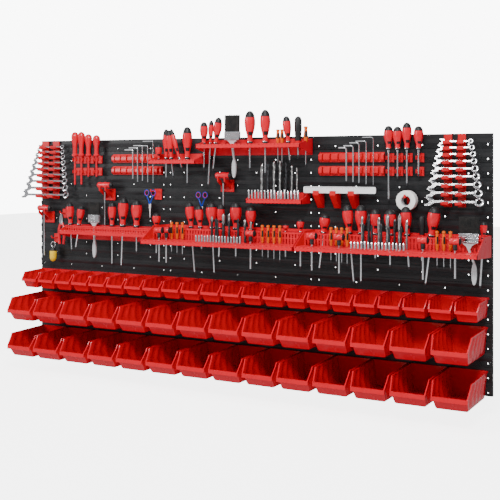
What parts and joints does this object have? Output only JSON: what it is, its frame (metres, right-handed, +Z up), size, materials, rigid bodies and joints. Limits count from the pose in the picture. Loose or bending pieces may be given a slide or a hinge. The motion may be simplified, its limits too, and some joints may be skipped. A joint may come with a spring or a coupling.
{
  "type": "pegboard tool wall",
  "caption": "Slatted wall panels carrying hook-on bins, tool shelves, wrench racks, key rails, hooks and hand tools.",
  "frame": {"origin": "on the wall plane, behind the middle of the wall, where the upper and lower middle panels meet", "axes": "+X to the viewer's right along the wall, +Y into the wall, +Z up"},
  "size_m": [1.8018, 0.218, 0.8763],
  "materials": {
    "panel_plastic": "satin, finely ribbed",
    "bin_plastic": "glossy moulded",
    "shelf_plastic": "satin moulded",
    "holder_plastic": "satin moulded",
    "driver_handle": "soft satin grip",
    "tool_chrome": "polished",
    "ruler_aluminium": "satin",
    "tape_white": "matt",
    "scissors_handle": "glossy",
    "grip_black": "matt rubber",
    "drill_steel": "ground",
    "mini_orange": "glossy",
    "knife_yellow": "glossy",
    "brush_bristle": "coarse bristle"
  },
  "bodies": {
    "root": {"panel_upper_left": "panel_plastic", "panel_upper_middle": "panel_plastic", "panel_upper_right": "panel_plastic", "panel_lower_left": "panel_plastic", "panel_lower_middle": "panel_plastic", "panel_lower_right": "panel_plastic", "shelf_low_left": "shelf_plastic", "shelf_low_middle": "shelf_plastic", "shelf_low_right": "shelf_plastic", "shelf_high": "shelf_plastic", "shelf_high_left": "shelf_plastic", "shelf_drill": "shelf_plastic", "key_rail_left_upper": "holder_plastic", "key_rail_left_lower": "holder_plastic", "key_rail_right_upper": "holder_plastic", "key_rail_right_lower": "holder_plastic", "wrench_rack_left_outer": "holder_plastic", "wrench_rack_left_inner": "holder_plastic", "wrench_rack_right_inner": "holder_plastic", "wrench_rack_right_outer": "holder_plastic", "ruler_bracket_left": "holder_plastic", "ruler_bracket_middle": "holder_plastic", "ruler_bracket_right": "holder_plastic", "tape_hook": "holder_plastic", "scissors_hook": "holder_plastic", "scissors_fixed_half": "scissors_handle"},
    "medium_bin_upper_01": {"medium_bin_upper_01": "bin_plastic"},
    "medium_bin_upper_02": {"medium_bin_upper_02": "bin_plastic"},
    "medium_bin_upper_03": {"medium_bin_upper_03": "bin_plastic"},
    "medium_bin_upper_04": {"medium_bin_upper_04": "bin_plastic"},
    "medium_bin_upper_05": {"medium_bin_upper_05": "bin_plastic"},
    "medium_bin_upper_06": {"medium_bin_upper_06": "bin_plastic"},
    "medium_bin_upper_07": {"medium_bin_upper_07": "bin_plastic"},
    "medium_bin_upper_08": {"medium_bin_upper_08": "bin_plastic"},
    "medium_bin_upper_09": {"medium_bin_upper_09": "bin_plastic"},
    "medium_bin_upper_10": {"medium_bin_upper_10": "bin_plastic"},
    "medium_bin_upper_11": {"medium_bin_upper_11": "bin_plastic"},
    "medium_bin_upper_12": {"medium_bin_upper_12": "bin_plastic"},
    "medium_bin_upper_13": {"medium_bin_upper_13": "bin_plastic"},
    "medium_bin_upper_14": {"medium_bin_upper_14": "bin_plastic"},
    "medium_bin_lower_01": {"medium_bin_lower_01": "bin_plastic"},
    "medium_bin_lower_02": {"medium_bin_lower_02": "bin_plastic"},
    "medium_bin_lower_03": {"medium_bin_lower_03": "bin_plastic"},
    "medium_bin_lower_04": {"medium_bin_lower_04": "bin_plastic"},
    "medium_bin_lower_05": {"medium_bin_lower_05": "bin_plastic"},
    "medium_bin_lower_06": {"medium_bin_lower_06": "bin_plastic"},
    "medium_bin_lower_07": {"medium_bin_lower_07": "bin_plastic"},
    "medium_bin_lower_08": {"medium_bin_lower_08": "bin_plastic"},
    "medium_bin_lower_09": {"medium_bin_lower_09": "bin_plastic"},
    "medium_bin_lower_10": {"medium_bin_lower_10": "bin_plastic"},
    "medium_bin_lower_11": {"medium_bin_lower_11": "bin_plastic"},
    "medium_bin_lower_12": {"medium_bin_lower_12": "bin_plastic"},
    "medium_bin_lower_13": {"medium_bin_lower_13": "bin_plastic"},
    "medium_bin_lower_14": {"medium_bin_lower_14": "bin_plastic"},
    "small_bin_row": {"small_bin_row": "bin_plastic"},
    "ruler": {"ruler": "ruler_aluminium"},
    "tape_roll": {"tape_roll": "tape_white"},
    "tall_screwdriver": {"tall_screwdriver": "driver_handle"},
    "long_wrench": {"long_wrench": "tool_chrome"},
    "scissors_moving_half": {"scissors_moving_half": "scissors_handle"}
  },
  "joints": [
    {"name": "ruler_lift", "type": "slide", "parent": "root", "child": "ruler", "axis": [0, 0, 1], "range_m": [0, 0.02]},
    {"name": "tape_roll_spin", "type": "hinge", "parent": "root", "child": "tape_roll", "pos_m": [0.6114, -0.045, 0.187], "axis": [0, 1, 0], "continuous": true},
    {"name": "tall_screwdriver_lift", "type": "slide", "parent": "root", "child": "tall_screwdriver", "axis": [0, 0, 1], "range_m": [0, 0.1]},
    {"name": "long_wrench_lift", "type": "slide", "parent": "root", "child": "long_wrench", "axis": [0, 0, 1], "range_m": [0, 0.01]},
    {"name": "scissors_pivot", "type": "hinge", "parent": "root", "child": "scissors_moving_half", "pos_m": [-0.3455, -0.033, 0.157], "axis": [0, -1, 0], "range_deg": [0, 50]},
    {"name": "medium_bin_upper_01_lift", "type": "slide", "parent": "root", "child": "medium_bin_upper_01", "axis": [0, 0, 1], "range_m": [0, 0.01]},
    {"name": "medium_bin_upper_02_lift", "type": "slide", "parent": "root", "child": "medium_bin_upper_02", "axis": [0, 0, 1], "range_m": [0, 0.01]},
    {"name": "medium_bin_upper_03_lift", "type": "slide", "parent": "root", "child": "medium_bin_upper_03", "axis": [0, 0, 1], "range_m": [0, 0.01]},
    {"name": "medium_bin_upper_04_lift", "type": "slide", "parent": "root", "child": "medium_bin_upper_04", "axis": [0, 0, 1], "range_m": [0, 0.01]},
    {"name": "medium_bin_upper_05_lift", "type": "slide", "parent": "root", "child": "medium_bin_upper_05", "axis": [0, 0, 1], "range_m": [0, 0.01]},
    {"name": "medium_bin_upper_06_lift", "type": "slide", "parent": "root", "child": "medium_bin_upper_06", "axis": [0, 0, 1], "range_m": [0, 0.01]},
    {"name": "medium_bin_upper_07_lift", "type": "slide", "parent": "root", "child": "medium_bin_upper_07", "axis": [0, 0, 1], "range_m": [0, 0.01]},
    {"name": "medium_bin_upper_08_lift", "type": "slide", "parent": "root", "child": "medium_bin_upper_08", "axis": [0, 0, 1], "range_m": [0, 0.01]},
    {"name": "medium_bin_upper_09_lift", "type": "slide", "parent": "root", "child": "medium_bin_upper_09", "axis": [0, 0, 1], "range_m": [0, 0.01]},
    {"name": "medium_bin_upper_10_lift", "type": "slide", "parent": "root", "child": "medium_bin_upper_10", "axis": [0, 0, 1], "range_m": [0, 0.01]},
    {"name": "medium_bin_upper_11_lift", "type": "slide", "parent": "root", "child": "medium_bin_upper_11", "axis": [0, 0, 1], "range_m": [0, 0.01]},
    {"name": "medium_bin_upper_12_lift", "type": "slide", "parent": "root", "child": "medium_bin_upper_12", "axis": [0, 0, 1], "range_m": [0, 0.01]},
    {"name": "medium_bin_upper_13_lift", "type": "slide", "parent": "root", "child": "medium_bin_upper_13", "axis": [0, 0, 1], "range_m": [0, 0.01]},
    {"name": "medium_bin_upper_14_lift", "type": "slide", "parent": "root", "child": "medium_bin_upper_14", "axis": [0, 0, 1], "range_m": [0, 0.01]},
    {"name": "medium_bin_lower_01_lift", "type": "slide", "parent": "root", "child": "medium_bin_lower_01", "axis": [0, 0, 1], "range_m": [0, 0.01]},
    {"name": "medium_bin_lower_02_lift", "type": "slide", "parent": "root", "child": "medium_bin_lower_02", "axis": [0, 0, 1], "range_m": [0, 0.01]},
    {"name": "medium_bin_lower_03_lift", "type": "slide", "parent": "root", "child": "medium_bin_lower_03", "axis": [0, 0, 1], "range_m": [0, 0.01]},
    {"name": "medium_bin_lower_04_lift", "type": "slide", "parent": "root", "child": "medium_bin_lower_04", "axis": [0, 0, 1], "range_m": [0, 0.01]},
    {"name": "medium_bin_lower_05_lift", "type": "slide", "parent": "root", "child": "medium_bin_lower_05", "axis": [0, 0, 1], "range_m": [0, 0.01]},
    {"name": "medium_bin_lower_06_lift", "type": "slide", "parent": "root", "child": "medium_bin_lower_06", "axis": [0, 0, 1], "range_m": [0, 0.01]},
    {"name": "medium_bin_lower_07_lift", "type": "slide", "parent": "root", "child": "medium_bin_lower_07", "axis": [0, 0, 1], "range_m": [0, 0.01]},
    {"name": "medium_bin_lower_08_lift", "type": "slide", "parent": "root", "child": "medium_bin_lower_08", "axis": [0, 0, 1], "range_m": [0, 0.01]},
    {"name": "medium_bin_lower_09_lift", "type": "slide", "parent": "root", "child": "medium_bin_lower_09", "axis": [0, 0, 1], "range_m": [0, 0.01]},
    {"name": "medium_bin_lower_10_lift", "type": "slide", "parent": "root", "child": "medium_bin_lower_10", "axis": [0, 0, 1], "range_m": [0, 0.01]},
    {"name": "medium_bin_lower_11_lift", "type": "slide", "parent": "root", "child": "medium_bin_lower_11", "axis": [0, 0, 1], "range_m": [0, 0.01]},
    {"name": "medium_bin_lower_12_lift", "type": "slide", "parent": "root", "child": "medium_bin_lower_12", "axis": [0, 0, 1], "range_m": [0, 0.01]},
    {"name": "medium_bin_lower_13_lift", "type": "slide", "parent": "root", "child": "medium_bin_lower_13", "axis": [0, 0, 1], "range_m": [0, 0.01]},
    {"name": "medium_bin_lower_14_lift", "type": "slide", "parent": "root", "child": "medium_bin_lower_14", "axis": [0, 0, 1], "range_m": [0, 0.01]},
    {"name": "small_bin_row_lift", "type": "slide", "parent": "root", "child": "small_bin_row", "axis": [0, 0, 1], "range_m": [0, 0.01]}
  ]
}
